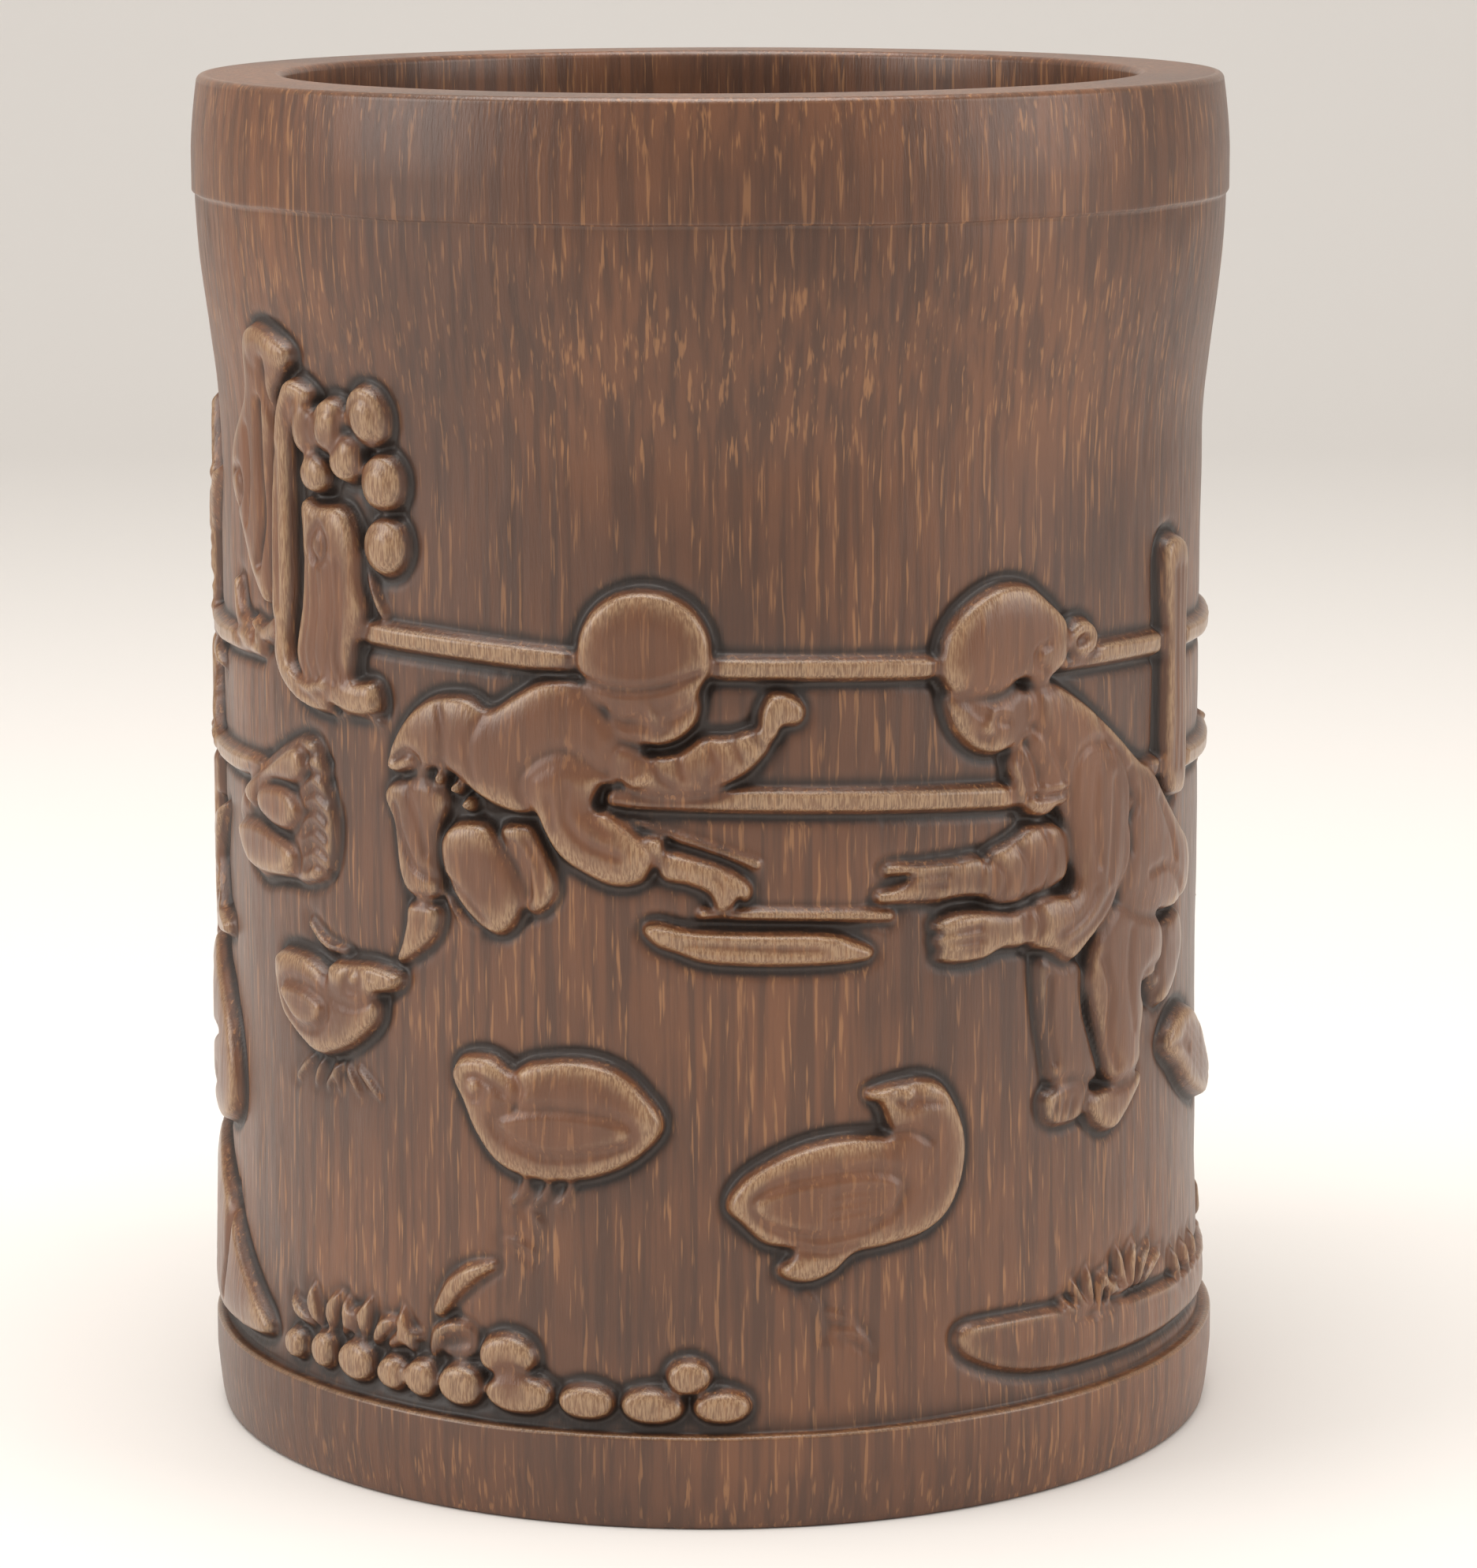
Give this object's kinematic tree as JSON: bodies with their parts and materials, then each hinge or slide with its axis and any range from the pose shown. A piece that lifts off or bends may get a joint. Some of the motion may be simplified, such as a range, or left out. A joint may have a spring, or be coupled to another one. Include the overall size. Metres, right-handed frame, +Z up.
{
  "type": "brush pot",
  "caption": "Cylindrical bamboo brush pot with raised rim and foot bands, carved relief round the wall and a pegged base disc; holds brushes on end.",
  "frame": {"origin": "on the table under the pot's axis, at the level of the foot's lower edge", "axes": "+Z up along the pot's axis, -Y towards the viewer of the carved scene with the boys, +X to that viewer's right"},
  "size_m": [0.1148, 0.1148, 0.15],
  "materials": {
    "carved_bamboo": "aged, hand-polished bamboo with a soft gloss",
    "disc_wood": "matt end disc",
    "peg_bamboo": "matt split bamboo"
  },
  "bodies": {
    "root": {"culm_wall": "carved_bamboo", "base_disc": "disc_wood", "base_peg_1": "peg_bamboo", "base_peg_2": "peg_bamboo", "base_peg_3": "peg_bamboo", "base_peg_4": "peg_bamboo"}
  },
  "joints": []
}
